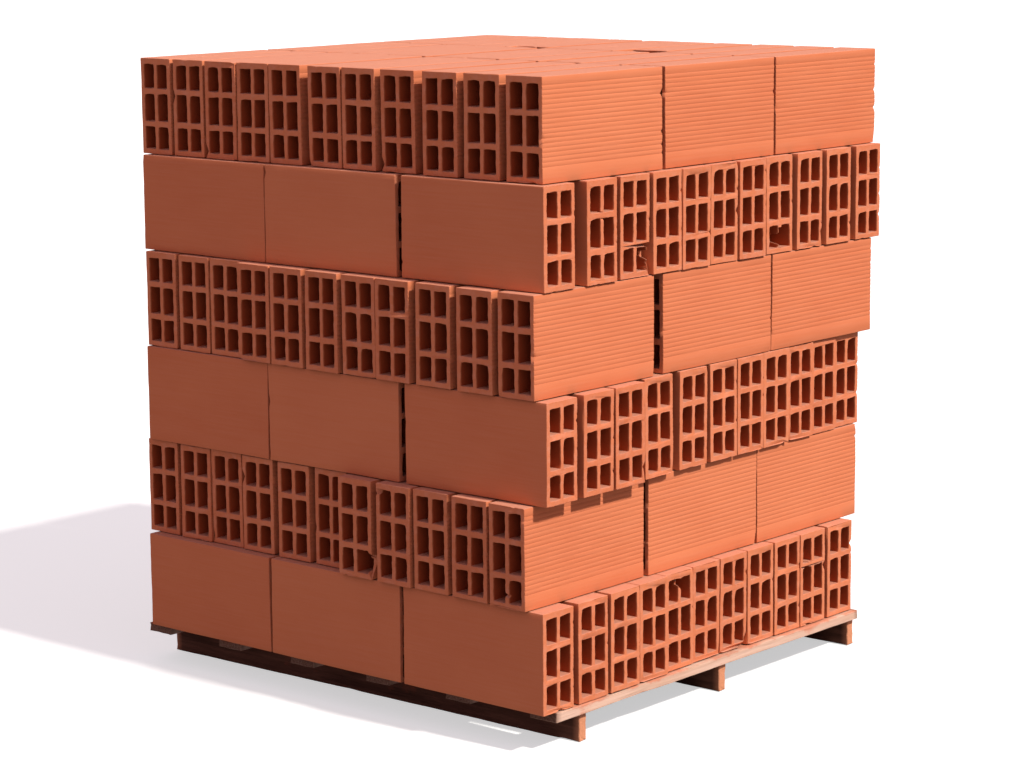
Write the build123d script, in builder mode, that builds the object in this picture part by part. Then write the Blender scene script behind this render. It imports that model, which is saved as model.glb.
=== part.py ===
from build123d import *
import os

# A pallet load of hollow clay bricks: six courses of 33 bricks, stood on edge on a low wooden pallet.
# The frame: +Z is up, -Y is the front, and the origin is on the floor under the middle of the load.
# Lengths are in millimetres. A course is laid out from its front right corner, which is given from
# the corner of the load: x grows to the right, so bricks lie at lower x, and y grows to the back.

# One brick
brick_length = 325.0
brick_height = 180.0
brick_thickness = 81.0
side_wall = 9.0
middle_web = 8.5
top_wall = 11.5
bottom_wall = 10.5
cross_web = 10.0
top_cell_height = 45.0
bottom_cell_height = 42.0

# The load: what separates the hidden block from the bricks around it
core_clearance = 1.0

# Pallet
board_count = 6
board_length = 915.0
board_width = 60.0
board_thickness = 18.0
deck_width = 1006.0
board_setbacks = [20.0, 12.0, 8.0, 4.0, 2.0, 0.0]
bearer_width = 21.0
bearer_height = 53.0
bearer_right_inset = 10.0
bearer_left_overhang = 4.0
front_bearer_inset = 83.0
front_bearer_skew = 1.4
pallet_shift = (9.0, -31.0)

# How each course lies. The odd courses have their bricks along X and show their open ends on the
# right, and the even ones have them along Y and show their open ends at the front.
# corner: the front right corner of the course.
# side_joints: the gaps between its rows, from that corner on.
# end_joints: the gaps between the three bricks of each row, from that corner on.
# row_setbacks: how far each row lies back from the corner, along its own length.
courses = [
    {
        "along": "x",
        "corner": (16.0, -13.0),
        "side_joints": [14.0, 8.0, 1.0, 1.0, 1.0, 1.0, 2.0, 4.0, 1.0, 9.0],
        "end_joints": [6.0, 3.0],
        "row_setbacks": [0.0, 1.0, 1.0, 2.0, 8.0, 10.0, 9.0, 8.0, 8.0, 7.0, 8.0],
    },
    {
        "along": "y",
        "corner": (-14.0, -25.0),
        "side_joints": [7.0, 11.0, 5.0, 13.0, 5.0, 12.0, 14.0, 4.0, 1.0, 9.0],
        "end_joints": [12.0, 1.0],
        "row_setbacks": [0.0, 3.0, 5.0, 2.0, 3.0, 31.0, 29.0, 31.0, 33.0, 30.0, 32.0],
    },
    {
        "along": "x",
        "corner": (16.0, 0.0),
        "side_joints": [18.0, 6.0, 17.0, 21.0, 12.0, 2.0, 1.0, 1.0, 1.0, 1.0],
        "end_joints": [14.0, 1.0],
        "row_setbacks": [0.0, 0.0, 1.0, 14.0, 16.0, 18.0, 19.0, 20.0, 23.0, 27.0, 32.0],
    },
    {
        "along": "y",
        "corner": (-5.0, -7.0),
        "side_joints": [11.0, 17.0, 13.0, 1.0, 9.0, 9.0, 2.0, 5.0, 3.0, 9.0],
        "end_joints": [24.0, 2.0],
        "row_setbacks": [0.0, -2.0, 1.0, -1.0, 0.0, -2.0, 0.0, -1.0, 12.0, 11.0, 12.0],
    },
    {
        "along": "x",
        "corner": (-1.0, 16.0),
        "side_joints": [31.0, 13.0, 8.0, 1.0, 4.0, 3.0, 6.0, 12.0, 12.0, 18.0],
        "end_joints": [12.0, 1.0],
        "row_setbacks": [0.0, -1.0, 2.0, 0.0, -2.0, 1.0, -1.0, 2.0, 0.0, -1.0, 0.0],
    },
    {
        "along": "y",
        "corner": (-15.0, 30.0),
        "side_joints": [15.0, 12.0, 20.0, 11.0, 2.0, 20.0, 1.0, 1.0, 7.0, 6.0],
        "end_joints": [6.0, 4.0],
        "row_setbacks": [0.0, 1.0, -1.0, 2.0, 0.0, -1.0, 1.0, 0.0, -2.0, 0.0, -1.0],
    },
]

# Sizes worked out from the ones above
cell_width = (brick_thickness - 2 * side_wall - middle_web) / 2
webs_and_walls = top_wall + bottom_wall + 2 * cross_web
middle_cell_height = brick_height - webs_and_walls - top_cell_height - bottom_cell_height
bearer_length = deck_width - bearer_right_inset + bearer_left_overhang
deck_top = bearer_height + board_thickness


def row_starts(course):
    # distance of each row's near side from the corner, across the rows. Rows are laid for as long as
    # the crossing bricks of the next course reach over the middle of a row.
    reach = (len(course["end_joints"]) + 1) * brick_length + sum(course["end_joints"])
    starts = [0.0]
    for joint in course["side_joints"]:
        start = starts[-1] + brick_thickness + joint
        if start + brick_thickness / 2 > reach:
            break
        starts.append(start)
    return starts


def end_starts(course, row):
    # distance of each brick's near end from the corner, along the row
    starts = [course["row_setbacks"][row]]
    for joint in course["end_joints"]:
        starts.append(starts[-1] + brick_length + joint)
    return starts


def placed_box(course, across, across_end, along, along_end):
    # low and high corners, in plan, of a block given by its distances from the course's corner
    x, y = course["corner"]
    if course["along"] == "x":
        return (x - along_end, y + across), (x - along, y + across_end)
    return (x - across_end, y + along), (x - across, y + along_end)


def brick_boxes(course, skip_hidden):
    # the plan boxes of a course's bricks, without the ones that other bricks hide on every side
    boxes = []
    starts = row_starts(course)
    last_row = len(starts) - 1
    last_place = len(course["end_joints"])
    for row, across in enumerate(starts):
        for place, along in enumerate(end_starts(course, row)):
            hidden = 0 < row < last_row and 0 < place < last_place
            if skip_hidden and hidden:
                continue
            boxes.append(placed_box(course, across, across + brick_thickness, along, along + brick_length))
    return boxes


def core_box(course):
    # the block that stands for the hidden bricks, clear of the front and back bricks of every row
    starts = row_starts(course)
    inner_rows = range(1, len(starts) - 1)
    first_ends = [end_starts(course, row)[0] + brick_length for row in inner_rows]
    last_starts = [end_starts(course, row)[-1] for row in inner_rows]
    return placed_box(
        course,
        starts[1],
        starts[-2] + brick_thickness,
        max(first_ends) + core_clearance,
        min(last_starts) - core_clearance,
    )


def outline(boxes):
    # the low and high corners of the box around all the given boxes
    low = (min(box[0][0] for box in boxes), min(box[0][1] for box in boxes))
    high = (max(box[1][0] for box in boxes), max(box[1][1] for box in boxes))
    return low, high


# The pallet lies under the middle of the bricks, but for a small shift. The origin goes under the
# middle of everything.
brick_low, brick_high = outline([box for course in courses for box in brick_boxes(course, skip_hidden=False)])
pallet_x = (brick_low[0] + brick_high[0]) / 2 + pallet_shift[0]
pallet_y = (brick_low[1] + brick_high[1]) / 2 + pallet_shift[1]
deck_depth = board_length + max(board_setbacks)
deck_right = pallet_x + deck_width / 2
deck_front = pallet_y - deck_depth / 2
deck_back = deck_front + deck_depth
deck_box = ((deck_right - deck_width, deck_front), (deck_right, deck_back))
load_low, load_high = outline([(brick_low, brick_high), deck_box])
middle_x = (load_low[0] + load_high[0]) / 2
middle_y = (load_low[1] + load_high[1]) / 2

os.makedirs("parts", exist_ok=True)

# One extruded brick: a section with two columns of three cells, which run its whole length.
# It lies along X, centred in plan, with its underside at z = 0.
cell_heights = [bottom_cell_height, middle_cell_height, top_cell_height]
column_offset = (middle_web + cell_width) / 2
with BuildPart() as brick:
    with BuildSketch(Plane.YZ):
        Rectangle(brick_thickness, brick_height, align=(Align.CENTER, Align.MIN))
        cell_foot = bottom_wall
        for cell_height in cell_heights:
            with Locations((-column_offset, cell_foot), (column_offset, cell_foot)):
                Rectangle(cell_width, cell_height, align=(Align.CENTER, Align.MIN), mode=Mode.SUBTRACT)
            cell_foot += cell_height + cross_web
    extrude(amount=brick_length / 2, both=True)

# The courses. Crossing directions tie the load together, and every brick is a solid of its own.
for number, course in enumerate(courses, start=1):
    foot = deck_top + (number - 1) * brick_height
    turn = 0 if course["along"] == "x" else 90
    places = []
    for low, high in brick_boxes(course, skip_hidden=number < len(courses)):
        centre = ((low[0] + high[0]) / 2 - middle_x, (low[1] + high[1]) / 2 - middle_y, foot)
        places.append(Location(centre, (0, 0, turn)))
    with BuildPart() as laid_course:
        with Locations(*places):
            add(brick.part)
    laid_course.part.label = f"course_{number}"
    export_step(laid_course.part, f"parts/course_{number}.step")

# The hidden middle bricks of the five lower courses, as one plain block with a step at each course
with BuildPart() as hidden_bricks:
    for number, course in enumerate(courses[:-1], start=1):
        low, high = core_box(course)
        foot = deck_top + (number - 1) * brick_height
        with BuildSketch(Plane.XY.offset(foot)):
            with Locations((low[0] - middle_x, low[1] - middle_y)):
                Rectangle(high[0] - low[0], high[1] - low[1], align=(Align.MIN, Align.MIN))
        extrude(amount=brick_height)
hidden_bricks.part.label = "hidden_bricks"
export_step(hidden_bricks.part, "parts/hidden_bricks.step")

# The deck boards lie from front to back across the bearers, counted from the right
board_pitch = (deck_width - board_width) / (board_count - 1)
for index in range(board_count):
    board_x = deck_right - index * board_pitch - middle_x
    board_y = deck_front + board_setbacks[index] - middle_y
    with BuildPart() as deck_board:
        with BuildSketch(Plane.XY.offset(bearer_height)):
            with Locations((board_x, board_y)):
                Rectangle(board_width, board_length, align=(Align.MAX, Align.MIN))
        extrude(amount=board_thickness)
    deck_board.part.label = f"deck_board_{index + 1}"
    export_step(deck_board.part, f"parts/deck_board_{index + 1}.step")

# The bearers are boards on edge, from left to right, and stand on the floor. The back one is flush
# with the deck, the middle one is half-way, and the front one was nailed on a little askew.
bearer_x = deck_right - bearer_right_inset - bearer_length / 2
front_line = deck_front + front_bearer_inset + bearer_width / 2
back_line = deck_back - bearer_width / 2
bearers = {
    "front": (front_line, front_bearer_skew),
    "middle": ((front_line + back_line) / 2, 0.0),
    "back": (back_line, 0.0),
}
for place, (line, skew) in bearers.items():
    with BuildPart() as bearer:
        with BuildSketch(Plane.XY):
            with Locations((bearer_x - middle_x, line - middle_y)):
                Rectangle(bearer_length, bearer_width, rotation=skew)
        extrude(amount=bearer_height)
    bearer.part.label = f"bearer_{place}"
    export_step(bearer.part, f"parts/bearer_{place}.step")

print("middle of the load from its corner:", middle_x, middle_y)
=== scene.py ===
from math import radians

import bpy
import numpy as np
from mathutils import Matrix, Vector
from mathutils.geometry import tessellate_polygon


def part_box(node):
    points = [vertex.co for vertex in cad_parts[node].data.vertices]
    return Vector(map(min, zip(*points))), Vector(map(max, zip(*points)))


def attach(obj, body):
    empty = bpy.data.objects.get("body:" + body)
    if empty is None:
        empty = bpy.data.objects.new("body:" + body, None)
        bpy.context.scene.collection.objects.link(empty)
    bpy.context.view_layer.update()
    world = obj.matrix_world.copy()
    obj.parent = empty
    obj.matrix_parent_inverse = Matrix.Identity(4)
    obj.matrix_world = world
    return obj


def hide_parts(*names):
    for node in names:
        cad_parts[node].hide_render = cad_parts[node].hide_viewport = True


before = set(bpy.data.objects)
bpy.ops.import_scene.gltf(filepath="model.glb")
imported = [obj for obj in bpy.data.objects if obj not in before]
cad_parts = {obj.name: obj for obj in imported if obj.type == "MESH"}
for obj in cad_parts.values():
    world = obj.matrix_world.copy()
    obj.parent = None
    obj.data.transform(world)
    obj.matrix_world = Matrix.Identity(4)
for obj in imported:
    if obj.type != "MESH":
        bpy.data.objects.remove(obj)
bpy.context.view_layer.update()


# The bearers: three rough softwood boards that stand on edge from left to right and carry the deck.
# They were ripped on a saw, left unplaned and nailed on from above, and years of brick loads have
# stained them brown and dusted them with clay.

def rounded_outline(low, high, corner, bottom, right, top, left):
    """A rectangle's outline and its outward directions, anticlockwise from the lower left corner.
    Each corner is a quarter circle in two chords. The four lists place the points along the
    straight sides."""
    low, high = np.array(low, float), np.array(high, float)
    centres = [
        (high[0] - corner, low[1] + corner),
        high - corner,
        (low[0] + corner, high[1] - corner),
        low + corner,
    ]
    sides = [
        ([(x, low[1]) for x in sorted(bottom)], (0, -1)),
        ([(high[0], y) for y in sorted(right)], (1, 0)),
        ([(x, high[1]) for x in sorted(top, reverse=True)], (0, 1)),
        ([(low[0], y) for y in sorted(left, reverse=True)], (-1, 0)),
    ]
    points, outward = [], []
    for turn, (centre, (straight, direction)) in enumerate(zip(centres, sides)):
        points += straight
        outward += [direction] * len(straight)
        angles = np.radians(90.0 * turn + np.array([-90.0, -45.0, 0.0]))
        arc = np.stack([np.cos(angles), np.sin(angles)], axis=-1)
        points += list(np.array(centre) + corner * arc)
        outward += list(arc)
    return np.array(points, float), np.array(outward, float)


def between(low, high, count):
    """count evenly spaced places between low and high, without the two ends."""
    return np.linspace(low, high, count + 2)[1:-1]


def wander(places, chance, longest, amount):
    """A slow random curve from 0 to amount: three sine waves of random phase, each a third as long
    and half as high as the one before."""
    curve = np.zeros_like(places, float)
    for step in range(3):
        wave = longest / 3 ** step
        curve += 0.5 ** step * np.sin(2 * np.pi * (places / wave + chance.random()))
    return amount * (0.5 + curve / 3.5)


def tube_faces(rings, around, first):
    """The quads of a closed tube whose points are numbered ring by ring from first. Each quad joins
    a point and the next one around to the same two on the next ring."""
    ring = first + np.arange(rings - 1)[:, None] * around
    next_ring = ring + around
    point = np.arange(around)[None, :]
    after = (point + 1) % around
    quads = [ring + point, next_ring + point, next_ring + after, ring + after]
    return np.stack(quads, axis=-1).reshape(-1, 4).tolist()


def end_faces(outlines, numbers, towards_viewer):
    """The triangles that fill an outline, less the outlines of the cells in it. numbers holds the
    index of each point, outline by outline. Each triangle is turned so that it faces out of the
    piece: one with a side on an outline runs as the outline does, any other is anticlockwise."""
    corners = np.array(tessellate_polygon([[(x, y, 0.0) for x, y in line] for line in outlines]))
    flat = np.concatenate(outlines)
    a, b, c = flat[corners[:, 0]], flat[corners[:, 1]], flat[corners[:, 2]]
    area = (b[:, 0] - a[:, 0]) * (c[:, 1] - a[:, 1]) - (b[:, 1] - a[:, 1]) * (c[:, 0] - a[:, 0])
    counts = [len(line) for line in outlines]
    firsts = np.cumsum([0] + counts[:-1])
    following = [first + np.roll(np.arange(count), -1) for first, count in zip(firsts, counts)]
    following = np.concatenate(following)
    ahead = np.roll(corners, -1, axis=1)
    along = (following[corners] == ahead).any(axis=1)
    against = (following[ahead] == corners).any(axis=1)
    turned = np.where(along | against, along, area > 0) != towards_viewer
    corners[turned] = corners[turned][:, ::-1]
    return np.array(numbers)[corners].tolist()


def new_piece(name, points, faces, smooth_angle, replaced, finish, values):
    """A mesh object from arrays. values holds numbers or vectors for its points, under the names by
    which the finish reads them."""
    mesh = bpy.data.meshes.new(name)
    mesh.from_pydata(points.tolist(), [], faces)
    mesh.polygons.foreach_set("use_smooth", np.ones(len(mesh.polygons), bool))
    mesh.set_sharp_from_angle(angle=radians(smooth_angle))
    for key, numbers in values.items():
        vector = numbers.ndim == 2
        attribute = mesh.attributes.new(key, "FLOAT_VECTOR" if vector else "FLOAT", "POINT")
        numbers = numbers.astype(np.float32).ravel()
        attribute.data.foreach_set("vector" if vector else "value", numbers)
    mesh.materials.append(finish.material)
    mesh.update()
    piece = bpy.data.objects.new(name, mesh)
    bpy.context.scene.collection.objects.link(piece)
    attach(piece, "root")
    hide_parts(replaced)


class Value:
    """A number or colour that a finish works out. Arithmetic on one adds Math nodes."""

    def __init__(self, finish, socket):
        self.finish = finish
        self.socket = socket

    def math(self, operation, *values, clamp=False):
        settings = {"operation": operation, "use_clamp": clamp}
        return self.finish.node("Math", settings, dict(enumerate(values)))

    def __add__(self, other):
        return self.math("ADD", self, other)

    def __sub__(self, other):
        return self.math("SUBTRACT", self, other)

    def __rsub__(self, other):
        return self.math("SUBTRACT", other, self)

    def __mul__(self, other):
        return self.math("MULTIPLY", self, other)

    def over(self, low, high):
        """0 up to low, 1 from high on, and an even slope between them."""
        return self.math("MULTIPLY_ADD", self, 1 / (high - low), -low / (high - low), clamp=True)

    __radd__ = __add__
    __rmul__ = __mul__


class Finish:
    """A new material's tree of nodes, or a tree that is there already. node adds any node, and
    hands back one of its outputs."""

    def __init__(self, name, tree=None):
        if tree is None:
            self.material = bpy.data.materials.new(name)
            self.material.use_nodes = True
            self.shader = self.material.node_tree.nodes["Principled BSDF"]
        self.tree = tree or self.material.node_tree

    def node(self, kind, settings={}, values={}, output=0):
        node = self.tree.nodes.new("ShaderNode" + kind)
        for setting, value in settings.items():
            setattr(node, setting, value)
        for socket, value in values.items():
            self.feed(node.inputs[socket], value)
        return Value(self, node.outputs[output])

    def feed(self, socket, value):
        if isinstance(value, Value):
            self.tree.links.new(value.socket, socket)
        else:
            socket.default_value = value

    def attribute(self, name, output=2):
        """A value that the mesh holds for its points: a number, or from output 1 a place."""
        return self.node("Attribute", {"attribute_name": name}, output=output)

    def noise(self, place, stretch, detail=3.0, roughness=0.55, distortion=0.0):
        """Cloudy noise from 0 to 1. stretch is how many clouds a metre holds along each axis."""
        scaled = self.node("VectorMath", {"operation": "MULTIPLY"}, {0: place, 1: stretch})
        settings = {"Detail": detail, "Roughness": roughness, "Distortion": distortion}
        return self.node("TexNoise", {}, {"Vector": scaled, "Scale": 1.0, **settings})

    def mix(self, share, first, second):
        """first where share is 0, second where it is 1."""
        return self.node("Mix", {"data_type": "RGBA"}, {0: share, 6: first, 7: second}, output=2)

    def surface(self, colour, roughness, height, relief):
        """Feeds the shader: colour, roughness, and a bump of the height's relief in metres. Dry
        clay and raw wood have next to no gloss."""
        self.shader.inputs["Specular IOR Level"].default_value = 0.08
        self.feed(self.shader.inputs["Base Color"], colour)
        self.feed(self.shader.inputs["Roughness"], roughness)
        bumps = self.node("Bump", {}, {"Strength": 1.0, "Distance": relief, "Height": height})
        self.feed(self.shader.inputs["Normal"], bumps)


def painted(red, green, blue):
    """The shader's colour for a colour given as 0 to 255."""
    parts = np.array([red, green, blue]) / 255
    curved = np.where(parts <= 0.04045, parts / 12.92, ((parts + 0.055) / 1.055) ** 2.4)
    return (*curved.tolist(), 1.0)


def sawn_wood(name, grain, pale, dark, dust, dusted, dust_top, cut):
    """Rough softwood. Long thin streaks of grain run along one axis, under finer saw fuzz, with
    clay dust in blots over a share of it, and the cut ends in a colour of their own. The dust is
    thickest at dust_top, the height of the edge that it falls on, and thins out below it."""
    wood = Finish(name)
    place = wood.node("TexCoord", output=3)
    end = wood.attribute("sawn_end")
    streaks = wood.noise(place, grain, detail=5.0, roughness=0.6, distortion=0.8)
    fuzz = wood.noise(place, [4 * waves for waves in grain], detail=4.0, roughness=0.7)
    blots = wood.noise(place, (14.0, 14.0, 22.0), detail=5.0, roughness=0.65)
    colour = wood.mix((streaks * 0.75 + fuzz * 0.25).over(0.36, 0.64), pale, dark)
    rise = wood.node("SeparateXYZ", {}, {0: place}, output=2)
    dust_reach = 0.008
    near_top = (rise - (dust_top - dust_reach)).over(0.0, dust_reach) * 0.22
    colour = wood.mix((blots + near_top).over(1 - dusted, 1.15 - dusted) * 0.8, colour, dust)
    colour = wood.mix(end * (fuzz * 0.6 + 0.55), colour, cut)
    wood.surface(colour, roughness=0.88, height=streaks * 0.6 + fuzz * 0.4, relief=0.0025)
    return wood


def sawn_board(name, start, along, length, width, height, seed, finish):
    """A board with worn arrises. Its rounded section is carried along it from start, and each point
    is set in by slow curves and by a few splits along the arrises, each a bell shape across and
    along. Both ends are a little out of square."""
    chance = np.random.default_rng(seed)
    arris = 0.0015
    split_count = 7
    split_width = 0.005
    ring_count = 60
    end_zone = 0.05
    cut_reach = 0.004
    across_places, up_places = between(0, width, 4), between(0, height, 4)
    outline, outward = rounded_outline(
        (0, 0), (width, height), arris, across_places, up_places, across_places, up_places
    )
    inner = between(0, length, ring_count)
    stations = np.concatenate([[0, arris], inner, [length - arris, length]])
    at = stations[:, None] + np.zeros(len(outline))
    slow = wander(at, chance, longest=0.9, amount=0.0011)
    slow += wander(at + outline[:, 0] * 7, chance, longest=0.11, amount=0.0006)
    corners = np.array([(0, 0), (width, 0), (width, height), (0, height)])
    for split in range(split_count):
        where = chance.random() * length
        reach = 0.006 + 0.02 * chance.random()
        far = np.linalg.norm(outline - corners[chance.integers(4)], axis=1)
        bite = np.exp(-(far / split_width) ** 2)[None, :] * np.exp(-((at - where) / reach) ** 2)
        slow += (0.001 + 0.002 * chance.random()) * bite
    slow[[0, -1]] += arris
    section = outline[None] - slow[..., None] * outward[None]
    lean = chance.normal(0, 0.02, 2)
    ragged = wander(outline @ [1.0, 1.7], chance, longest=0.03, amount=0.0022)
    ragged += np.abs(outline @ lean)
    near_start = np.clip(1 - stations / end_zone, 0, 1)
    near_finish = np.clip(1 - (length - stations) / end_zone, 0, 1)
    depth = at + (near_start[:, None] - near_finish[:, None]) * ragged
    along = np.array(along, float)
    across = np.array([along[1], -along[0], 0.0])
    points = np.array(start) + depth[..., None] * along + section[..., :1] * across
    points[..., 2] += section[..., 1]
    around = len(outline)
    last = (len(stations) - 1) * around
    faces = tube_faces(len(stations), around, 0)
    faces += end_faces([section[0]], range(around), towards_viewer=True)
    faces += end_faces([section[-1]], range(last, last + around), towards_viewer=False)
    sawn_end = np.clip(1 - np.minimum(at, length - at) / cut_reach, 0, 1).ravel()
    points = points.reshape(-1, 3)
    new_piece(name + "_sawn", points, faces, 40, name, finish, {"sawn_end": sawn_end})


bearer_wood = sawn_wood(
    "bearer_softwood",
    grain=(3.0, 60.0, 60.0),
    pale=painted(132, 88, 70),
    dark=painted(84, 54, 43),
    dust=painted(164, 88, 64),
    dusted=0.4,
    dust_top=0.053,
    cut=painted(255, 172, 128),
)
for seed, place in enumerate(("front", "middle", "back")):
    node = "bearer_" + place
    foot = np.array([vertex.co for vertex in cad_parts[node].data.vertices])
    foot = foot[foot[:, 2] < foot[:, 2].mean()]
    right_end = foot[foot[:, 0] > foot[:, 0].mean()]
    left_end = foot[foot[:, 0] < foot[:, 0].mean()]
    start = right_end[right_end[:, 1].argmin()]
    run = left_end.mean(axis=0) - right_end.mean(axis=0)
    length = np.linalg.norm(run)
    thickness = np.linalg.norm(right_end.max(axis=0) - right_end.min(axis=0))
    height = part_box(node)[1].z
    sawn_board(
        node, start, along=run / length, length=length, width=thickness, height=height,
        seed=seed, finish=bearer_wood,
    )


# The deck: six thin softwood boards from front to back, nailed down on the bearers. They are newer
# and paler than the bearers, and the bricks shed clay on them.

deck_wood = sawn_wood(
    "deck_softwood",
    grain=(70.0, 3.0, 70.0),
    pale=painted(250, 208, 184),
    dark=painted(232, 186, 158),
    dust=painted(234, 140, 104),
    dusted=0.4,
    dust_top=0.071,
    cut=painted(100, 63, 48),
)
for number in range(1, 7):
    node = f"deck_board_{number}"
    low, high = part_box(node)
    size = high - low
    sawn_board(
        node, low, along=(0, 1, 0), length=size.y, width=size.x, height=size.z,
        seed=20 + number, finish=deck_wood,
    )


# The bricks: hollow clay, pushed through a die as a column with six cells, cut to length by a wire
# and fired. The die scores one large face for plaster, and leaves the rest smooth. The wire drags
# the soft webs at the ends, and handling chips the arrises.

# What the die leaves: walls, webs and cells, rounded long edges, and the ribs of the scored face.
side_wall = 0.009
middle_web = 0.0085
bottom_wall = 0.0105
top_wall = 0.0115
cross_web = 0.010
bottom_cell = 0.042
top_cell = 0.045
die_corner = 0.0021
rib_pitch = 0.008
groove_depth = 0.00065
groove_half_width = 0.0015
plain_foot = 0.029
plain_head = 0.014

# What the wire, the kiln and handling leave, and how far it reaches into the brick.
cut_arris = 0.0007
chips_an_end = 4
mouth_flare = 0.0006
mouth_depth = 0.003
torn_reach = 0.008
hollow_reach = 0.004


def brick_boxes(course):
    """The low and high corners of a course's bricks. Every triangle passes the lowest number of its
    corners on to the other two until nothing changes, and corners that share a number are one
    brick."""
    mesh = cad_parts[course].data
    places = np.empty(3 * len(mesh.vertices))
    mesh.vertices.foreach_get("co", places)
    triangles = np.empty(len(mesh.loops), int)
    mesh.loops.foreach_get("vertex_index", triangles)
    spots, spot = np.unique(places.reshape(-1, 3).round(5), axis=0, return_inverse=True)
    triangles = spot.ravel()[triangles].reshape(-1, 3)
    number = np.arange(len(spots))
    while True:
        passed = number.copy()
        np.minimum.at(passed, triangles, number[triangles].min(axis=1, keepdims=True))
        if (passed == number).all():
            break
        number = passed
    groups = [spots[number == first] for first in np.unique(number)]
    return np.array([(group.min(axis=0), group.max(axis=0)) for group in groups])


def cell_edges(height):
    """The low and high edge of each of the three storeys of cells."""
    first = bottom_wall + bottom_cell
    last = height - top_wall - top_cell
    return [(bottom_wall, first), (first + cross_web, last - cross_web), (last, height - top_wall)]


def broken_back(section, breaks, rim):
    """How far the end of the brick is broken back at each point of its section: the deepest of its
    breaks, each an oval (across, up, wide, tall, deep in millimetres) with a steep, jagged rim."""
    depth = np.zeros(len(section))
    jag = wander(section @ [1.0, 0.7], rim, longest=0.02, amount=0.5) - 0.25
    for across, up, wide, tall, deep in breaks:
        far = np.hypot((section[:, 0] * 1000 - across) / wide, (section[:, 1] * 1000 - up) / tall)
        depth = np.maximum(depth, deep / 1000 * np.clip((1.15 - far - jag) / 0.2, 0, 1))
    return depth


def torn_mouth(die, facing, left, right, high, loose, chance):
    """The outline that the wire leaves at the mouth of a cell. The rim wavers, the upper corners
    droop in a bell shape, all of it shifts a little, and the ceiling slants down to the left."""
    from_left = np.linalg.norm(die - [left, high], axis=1)
    from_right = np.linalg.norm(die - [right, high], axis=1)
    droop = loose * (0.0003 + 0.003 * chance.random() ** 4) * np.exp(-(from_left / 0.007) ** 2)
    droop += loose * 0.002 * chance.random() ** 4 * np.exp(-(from_right / 0.006) ** 2)
    torn = wander(die @ [1.0, 1.3], chance, longest=0.03, amount=0.0013) - 0.0005
    mouth = die + (torn - droop)[:, None] * facing + chance.normal(0, 0.0003, 2)
    ceiling = np.clip(1 - (high - die[:, 1]) / 0.003, 0, 1)
    slant = ceiling * (right - die[:, 0]) / (right - left)
    mouth[:, 1] -= loose * 0.0014 * chance.random() * slant
    return mouth


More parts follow.
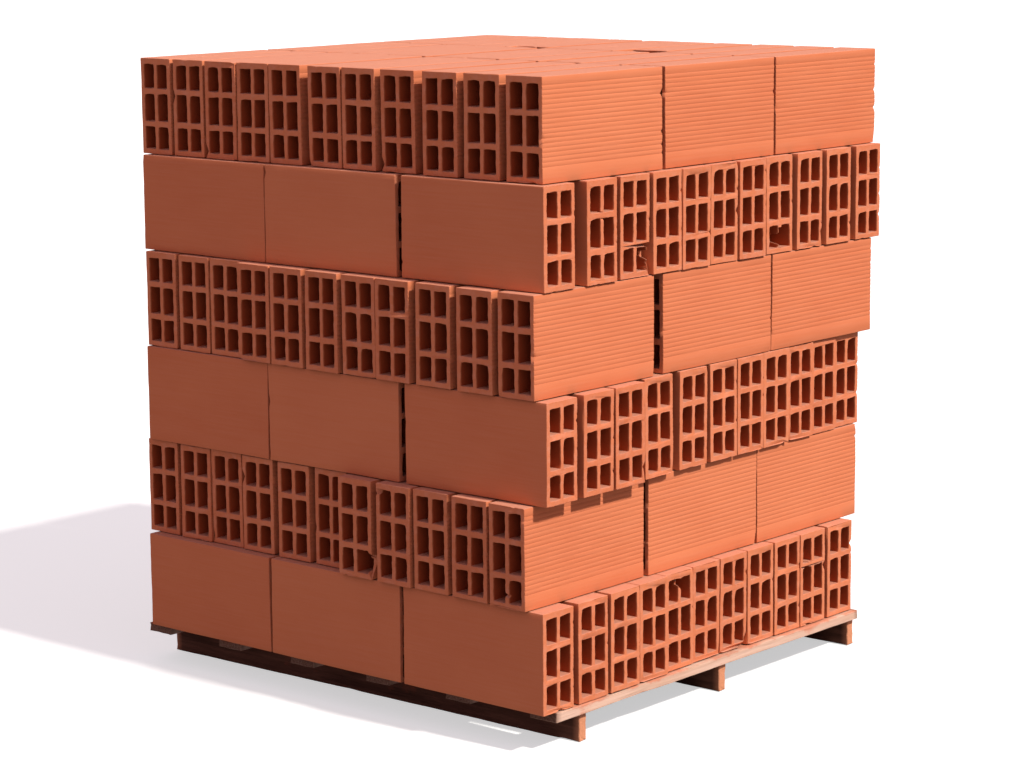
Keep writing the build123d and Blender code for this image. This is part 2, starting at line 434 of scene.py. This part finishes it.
def clay_brick(size, rings, fine, loose, breaks, chance):
    """One brick as points (depth from the end that is seen, across, up), faces and point values.
    The outline of its section and those of its six cells are carried along it as tubes, and both
    ends are filled between them. Towards an end a cell's outline turns from the die's shape to the
    torn one."""
    length, thickness, height = size

    # The outside: the die's outline, set in by slow curves, the grooves, the arrises and the chips,
    # and lifted a little along the hollow underside.
    grooves = np.arange(plain_foot, height - plain_head, rib_pitch) + chance.normal(0, 0.0004)
    rib_places = (grooves[:, None] + [-groove_half_width, 0.0, groove_half_width]).ravel()
    level, upright = between(0, thickness, 6 * fine), between(0, height, 12 * fine)
    outline, outward = rounded_outline(
        (0, 0), (thickness, height), die_corner, level, rib_places, level, upright
    )
    on_right = outline[:, 0] > thickness - 1e-5
    in_groove = on_right & np.isin(outline[:, 1].round(6), grooves.round(6))
    end_zone = 0.005
    near = np.array([0, cut_arris, end_zone])
    middle = between(end_zone, length - end_zone, rings * fine)
    stations = np.concatenate([near, middle, length - near[::-1]])
    at = stations[:, None] + np.zeros(len(outline))
    set_in = wander(at + outline[:, 1] * 3, chance, longest=0.4, amount=0.0006)
    wear = 0.7 + wander(at + outline[:, 1] * 9, chance, longest=0.15, amount=0.4)
    set_in += groove_depth * in_groove * wear
    set_in[[0, -1]] += cut_arris
    around = len(outline)
    chips = np.zeros((2, around))
    for end in (0, 1):
        for chip in range(chips_an_end):
            far = np.linalg.norm(outline - outline[chance.integers(around)], axis=1)
            reach = 0.001 + 0.005 * chance.random() ** 4
            chips[end] += 0.5 * reach * np.exp(-(far / reach) ** 2)
    set_in[:2] += chips[0]
    set_in[-2:] += chips[1]
    outer = outline[None] - set_in[..., None] * outward[None]
    hollow = 0.0003 + wander(at + outline[:, 0] * 2, chance, longest=0.5, amount=0.0009)
    outer[..., 1] += hollow * np.exp(-outline[:, 1] / hollow_reach)
    lean = chance.normal(0, 0.005, (2, 2))
    rims = chance.integers(1 << 30, size=2)

    def end_depth(section, end):
        """How far the wire's slant and waver, and any breaks, take an end back at each point."""
        rim = np.random.default_rng(rims[end])
        centre = np.array([thickness, height]) / 2
        slant = (section - centre) @ lean[end] + np.abs(lean[end]) @ centre
        waver = wander(section @ [1.0, 0.6], rim, longest=0.05, amount=0.0007)
        return slant + waver + (broken_back(section, breaks, rim) if end == 0 else 0)

    def carried(section, places, first_chips=0, last_chips=0):
        """The depth of the section's points at each place, in even shares between the two ends."""
        first = end_depth(section, 0) + first_chips
        last = length - end_depth(section, 1) - last_chips
        return first + (last - first) * places[:, None] / length

    # The tubes: first the outside, then two columns of three cells, each with corners of its own.
    points = [np.dstack([carried(outline, stations, *chips), outer]).reshape(-1, 3)]
    faces = tube_faces(len(stations), around, 0)
    inside = [np.zeros(len(stations) * around)]
    mouths, feet = [outer[0]], [outer[-1]]
    count = len(stations) * around
    first_ring, last_ring = list(range(around)), list(range(count - around, count))
    cell_width = (thickness - 2 * side_wall - middle_web) / 2
    near = np.array([0, cut_arris, 0.004, 0.012])
    depths = np.concatenate([near, [0.05], length - near[::-1]])
    from_end = np.minimum(depths, length - depths)
    torn_share = np.exp(-from_end / torn_reach)[:, None, None]
    flare = mouth_flare * (from_end == 0)[:, None, None]
    for left in (side_wall, thickness - side_wall - cell_width):
        for low, high in cell_edges(height):
            corner = 0.0012 + 0.0012 * chance.random()
            right = left + cell_width
            level = between(left + corner, right - corner, 3 * fine)
            upright = between(low + corner, high - corner, 5 * fine)
            die, facing = rounded_outline(
                (left, low), (right, high), corner, level, upright, level, upright
            )
            die, facing = die[::-1], facing[::-1]
            mouth = torn_mouth(die, facing, left, right, high, loose, chance)
            section = die + (mouth - die) * torn_share + flare * facing
            points.append(np.dstack([carried(die, depths), section]).reshape(-1, 3))
            faces += tube_faces(len(depths), len(die), count)
            # How far into the cell each point lies, which the finish turns into painted shade.
            inside.append(np.repeat(np.clip(from_end / mouth_depth, 0, 1), len(die)))
            mouths.append(section[0])
            feet.append(section[-1])
            first_ring += range(count, count + len(die))
            count += len(depths) * len(die)
            last_ring += range(count - len(die), count)
    faces += end_faces(mouths, first_ring, towards_viewer=True)
    faces += end_faces(feet, last_ring, towards_viewer=False)
    sawn = np.zeros(count)
    sawn[first_ring + last_ring] = 1.0
    return np.concatenate(points), faces, np.concatenate(inside), sawn


def fired_clay():
    """Fired clay. Slow patches from the kiln, fine streaks along the brick where it slid through
    the die, and a dragged grain on the cut ends. Painted shade darkens the cells to a deep red
    behind their mouths, and every upward face turns pale: part clay dust, part painted light on
    the tops and the floors of the cells."""
    clay = Finish("fired_clay")
    place = clay.attribute("brick_place", output=1)
    tone = clay.attribute("brick_tone")
    inside = clay.attribute("cell_depth")
    sawn = clay.attribute("sawn_end")
    upward = clay.node("SeparateXYZ", {}, {0: clay.node("NewGeometry", output=1)}, output=2)
    patches = clay.noise(place, (6.0, 9.0, 9.0), detail=3.0, roughness=0.5)
    streaks = clay.noise(place, (9.0, 260.0, 260.0), detail=3.0, roughness=0.6)
    drag = clay.noise(place, (60.0, 420.0, 90.0), detail=3.0, roughness=0.65, distortion=0.6)
    grain = clay.noise(place, (900.0, 900.0, 900.0), detail=2.0, roughness=0.6)
    dust = clay.noise(place, (40.0, 55.0, 80.0), detail=4.0, roughness=0.7)
    kiln = (patches * 0.65 + tone * 0.35).over(0.3, 0.7)
    colour = clay.mix(kiln, painted(231, 131, 88), painted(239, 141, 96))
    slid = (streaks * 0.7 + grain * 0.3).over(0.35, 0.7) * 0.25
    colour = clay.mix(slid, colour, painted(244, 158, 122))
    colour = clay.mix(dust.over(0.45, 0.7) * sawn * 0.45, colour, painted(244, 164, 134))
    # Painted shade: behind their mouths the cells turn a dark red, standing in for the shade and
    # red bounce light in them.
    colour = clay.mix(inside * 0.9, colour, painted(188, 80, 42))
    # Every upward face turns pale: part clay dust, part painted light, with the sunlit tops and
    # cell floors painted lighter.
    ledge_dust_and_light = upward.over(0.6, 0.9) * (dust * 0.5 + 0.55)
    colour = clay.mix(ledge_dust_and_light, colour, painted(236, 163, 134))
    height = streaks * 0.35 * (1 - sawn) + drag * 0.5 * sawn + grain * 0.15
    clay.surface(colour, roughness=0.92, height=height, relief=0.0009)
    return clay


clay = fired_clay()

# What is broken off the ends that are seen, under the course, the row and the place in the row, all
# counted from the near corner. Each break is its middle across and up the end, its reach both ways
# and its depth, in millimetres.
broken_bricks = {
    (1, 5, 1): [(41, 158, 5, 12, 12)],
    (1, 6, 1): [(70, 2, 9, 5, 9)],
    (1, 7, 1): [(74, 2, 12, 6, 10)],
    (1, 10, 1): [(22, 118, 10, 6, 15)],
    (2, 1, 1): [(40, 24, 4, 6, 8)],
    (2, 2, 1): [(44, 3, 18, 7, 10)],
    (2, 4, 1): [(12, 166, 5, 6, 8)],
    (2, 5, 1): [(77, 30, 7, 19, 14)],
    (5, 1, 1): [(60, 174, 3, 4, 6)],
    (5, 2, 1): [(41, 119, 6, 6, 10)],
    (5, 3, 1): [(79, 31, 7, 23, 18), (40, 1, 5, 7, 12)],
    (5, 8, 1): [(41, 24, 5, 21, 40)],
    (6, 4, 3): [(40, 182, 46, 32, 48)],
    (6, 7, 3): [(40, 182, 46, 32, 28)],
}

# The bricks of a course are shaped one by one in a frame of their own, and laid in the course's
# direction. The rows at its two sides and the top course show whole bricks, and get more rings.
mean_joint = 0.008
for course in range(1, 7):
    node = f"course_{course}"
    boxes = brick_boxes(node)
    size = boxes[0, 1] - boxes[0, 0]
    faces_right = size[0] > size[1]
    across = boxes[:, 0, 1] if faces_right else -boxes[:, 1, 0]
    depth = -boxes[:, 1, 0] if faces_right else boxes[:, 0, 1]
    rows = 1 + np.unique(across.round(4), return_inverse=True)[1]
    order = 1 + np.rint((depth - depth.min()) / (size.max() + mean_joint)).astype(int)
    brick_size = size if faces_right else size[[1, 0, 2]]
    loose = 1.0 if faces_right else 0.6
    points, faces, count = [], [], 0
    values = {"brick_place": [], "brick_tone": [], "cell_depth": [], "sawn_end": []}
    for box, row, place in zip(boxes, rows, order):
        key = (course, int(row), int(place))
        chance = np.random.default_rng(key)
        rings = 9 if row in (1, rows.max()) else 5 if course == 6 else 2
        fine = 3 if key in broken_bricks else 1
        breaks = broken_bricks.get(key, [])
        brick = clay_brick(brick_size, rings, fine, loose, breaks, chance)
        local, brick_faces, inside, sawn = brick
        deep, over, up = local.T
        if faces_right:
            laid = [box[1, 0] - deep, box[0, 1] + over, box[0, 2] + up]
        else:
            laid = [box[0, 0] + over, box[0, 1] + deep, box[0, 2] + up]
        points.append(np.stack(laid, axis=-1))
        faces += [[count + corner for corner in face] for face in brick_faces]
        count += len(local)
        values["brick_place"].append(local + chance.uniform(0, 50, 3))
        values["brick_tone"].append(np.full(len(local), chance.random()))
        values["cell_depth"].append(inside)
        values["sawn_end"].append(sawn)
    values = {name: np.concatenate(numbers) for name, numbers in values.items()}
    points = np.concatenate(points)
    new_piece(node + "_bricks", points, faces, 38, node, clay, values)


# The hidden bricks: the middle of the lower courses, which nothing shows but the ends of open
# joints and cells. The block that stands for them keeps its shape, and its clay is painted darker
# than the bricks' own, as painted shade for the joints and cells it fills.

core_clay = Finish("hidden_clay")
core_place = core_clay.node("TexCoord", output=3)
core_patches = core_clay.noise(core_place, (12.0, 12.0, 12.0), detail=4.0)
# Painted shade: a darker red than the clay of the bricks it stands for.
core_shaded_colour = core_clay.mix(core_patches, painted(176, 80, 50), painted(204, 104, 70))
core_clay.surface(core_shaded_colour, roughness=0.95, height=core_patches, relief=0.001)
for material_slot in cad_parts["hidden_bricks"].material_slots:
    material_slot.material = core_clay.material


# The stage: a pale floor and a white backdrop, a key light high on the right, an even fill, and the
# camera where the photograph was taken from. The floor throws back less light than it shows.

reach = 30.0
floor_mesh = bpy.data.meshes.new("floor")
floor_corners = [(-reach, -reach, 0), (reach, -reach, 0), (reach, reach, 0), (-reach, reach, 0)]
floor_mesh.from_pydata(floor_corners, [], [(0, 1, 2, 3)])
floor = bpy.data.objects.new("floor", floor_mesh)
bpy.context.scene.collection.objects.link(floor)
paper = Finish("pale_paper")
seen = paper.node("LightPath", output="Is Camera Ray")
glow = paper.node("Emission", {}, {"Color": (1.0, 1.0, 1.0, 1.0), "Strength": 0.55})
pale = paper.node("BsdfDiffuse", {}, {"Color": painted(236, 234, 231)})
dull = paper.node("BsdfDiffuse", {}, {"Color": (0.3, 0.29, 0.28, 1.0)})
bright = paper.node("AddShader", {}, {0: glow, 1: pale})
shown = paper.node("MixShader", {}, {0: seen, 1: dull, 2: bright})
paper.feed(paper.tree.nodes["Material Output"].inputs["Surface"], shown)
floor_mesh.materials.append(paper.material)

world = bpy.data.worlds.new("studio")
bpy.context.scene.world = world
world.use_nodes = True
sky = Finish("studio", world.node_tree)
fill = sky.node("Background", {}, {"Color": (1.0, 0.77, 0.94, 1.0), "Strength": 0.34})
backdrop = sky.node("Background", {}, {"Color": (1.0, 1.0, 1.0, 1.0), "Strength": 1.0})
straight = sky.node("LightPath", output="Is Camera Ray")
mirrored = sky.node("LightPath", output="Is Glossy Ray")
passed_on = sky.node("LightPath", output="Is Transmission Ray")
white = straight.math("MAXIMUM", straight, straight.math("MAXIMUM", mirrored, passed_on))
studio = sky.node("MixShader", {}, {0: white, 1: fill, 2: backdrop})
sky.feed(sky.tree.nodes["World Output"].inputs["Surface"], studio)

key_turn = radians(4)
key_height = radians(46)
key = bpy.data.lights.new("key", "SUN")
key.energy = 3.15
key.angle = radians(3)
key.color = (1.0, 0.98, 0.93)
key_lamp = bpy.data.objects.new("key", key)
key_side = Matrix.Rotation(radians(90) + key_turn, 4, "Z")
key_lamp.matrix_world = key_side @ Matrix.Rotation(radians(90) - key_height, 4, "X")
bpy.context.scene.collection.objects.link(key_lamp)

camera_place = Matrix.Translation((3.5112, -4.0419, 1.4542))
camera_turn = Matrix.Rotation(radians(40.879), 4, "Z")
camera_dip = Matrix.Rotation(radians(90 - 9.951), 4, "X")
camera_roll = Matrix.Rotation(radians(-0.489), 4, "Z")
camera_data = bpy.data.cameras.new("camera")
camera_data.sensor_width = 36.0
camera_data.lens = 98.94
camera_data.clip_end = 100.0
camera = bpy.data.objects.new("camera", camera_data)
camera.matrix_world = camera_place @ camera_turn @ camera_dip @ camera_roll
bpy.context.scene.collection.objects.link(camera)
bpy.context.scene.camera = camera
bpy.context.scene.view_settings.view_transform = "Standard"
bpy.context.scene.cycles.diffuse_bounces = 1
